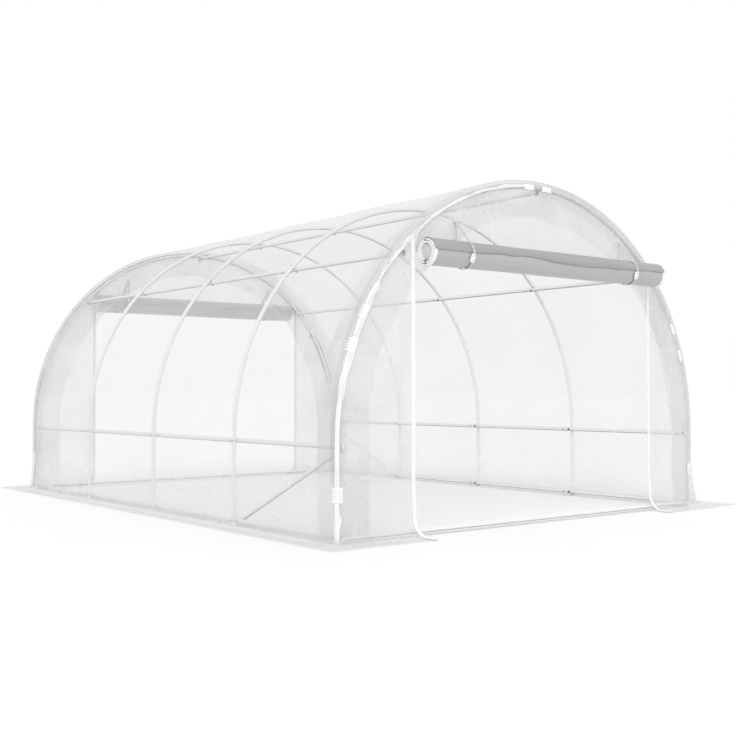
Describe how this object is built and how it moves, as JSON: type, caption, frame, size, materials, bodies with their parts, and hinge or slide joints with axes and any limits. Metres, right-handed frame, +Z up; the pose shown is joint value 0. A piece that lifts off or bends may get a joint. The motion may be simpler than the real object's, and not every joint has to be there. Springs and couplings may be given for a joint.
{
  "type": "walk-in tunnel greenhouse",
  "caption": "Walk-in tunnel greenhouse: bent-tube hoops, purlins and rails under clear film, with a wide doorway rolled up at each end and a film skirt on the ground.",
  "frame": {"origin": "on the ground, at the middle of the outline of the film's ground skirts", "axes": "+Z up, +Y along the tunnel from the front end to the rear end, +X to the right as seen from the front"},
  "size_m": [3.45, 4.53, 1.9922],
  "materials": {
    "frame_tube": "pale galvanised tube, powder coated, satin",
    "clear_film": "milky clear polyethylene film, glossy, creased",
    "plastic_feet": "white moulded plastic",
    "zip_tape": "white zip tape with piped edge",
    "rolled_film": "many layers of rolled film, grey where they lie on each other",
    "strap_webbing": "thin translucent webbing",
    "buckle_plastic": "white moulded plastic",
    "clip_plastic": "white moulded plastic with ribs"
  },
  "bodies": {
    "root": {"hoop_1": "frame_tube", "hoop_2": "frame_tube", "hoop_3": "frame_tube", "hoop_4": "frame_tube", "hoop_5": "frame_tube", "hoop_feet": "plastic_feet", "ridge_purlin": "frame_tube", "shoulder_purlin_left": "frame_tube", "shoulder_purlin_right": "frame_tube", "side_rail_left": "frame_tube", "side_rail_right": "frame_tube", "base_rail_left": "frame_tube", "base_rail_right": "frame_tube", "base_rail_front": "frame_tube", "base_rail_rear": "frame_tube", "brace_front_left": "frame_tube", "brace_rear_right": "frame_tube", "roof_cover": "clear_film", "side_cover_left": "clear_film", "side_cover_right": "clear_film", "front_wall_left": "clear_film", "front_wall_right": "clear_film", "front_wall_top": "clear_film", "rear_wall_left": "clear_film", "rear_wall_right": "clear_film", "rear_wall_top": "clear_film", "skirt_left_side": "clear_film", "skirt_right_side": "clear_film", "skirt_front_left": "clear_film", "skirt_front_right": "clear_film", "skirt_rear_left": "clear_film", "skirt_rear_right": "clear_film", "zip_tape_front_left": "zip_tape", "zip_tape_front_right": "zip_tape", "zip_tape_rear_left": "zip_tape", "zip_tape_rear_right": "zip_tape", "door_roll_front": "rolled_film", "door_roll_rear": "rolled_film", "roll_straps_front": "strap_webbing", "roll_straps_rear": "strap_webbing", "strap_buckles_front": "buckle_plastic", "strap_buckles_rear": "buckle_plastic", "film_clips_front": "clip_plastic", "film_clips_rear": "clip_plastic"}
  },
  "joints": []
}
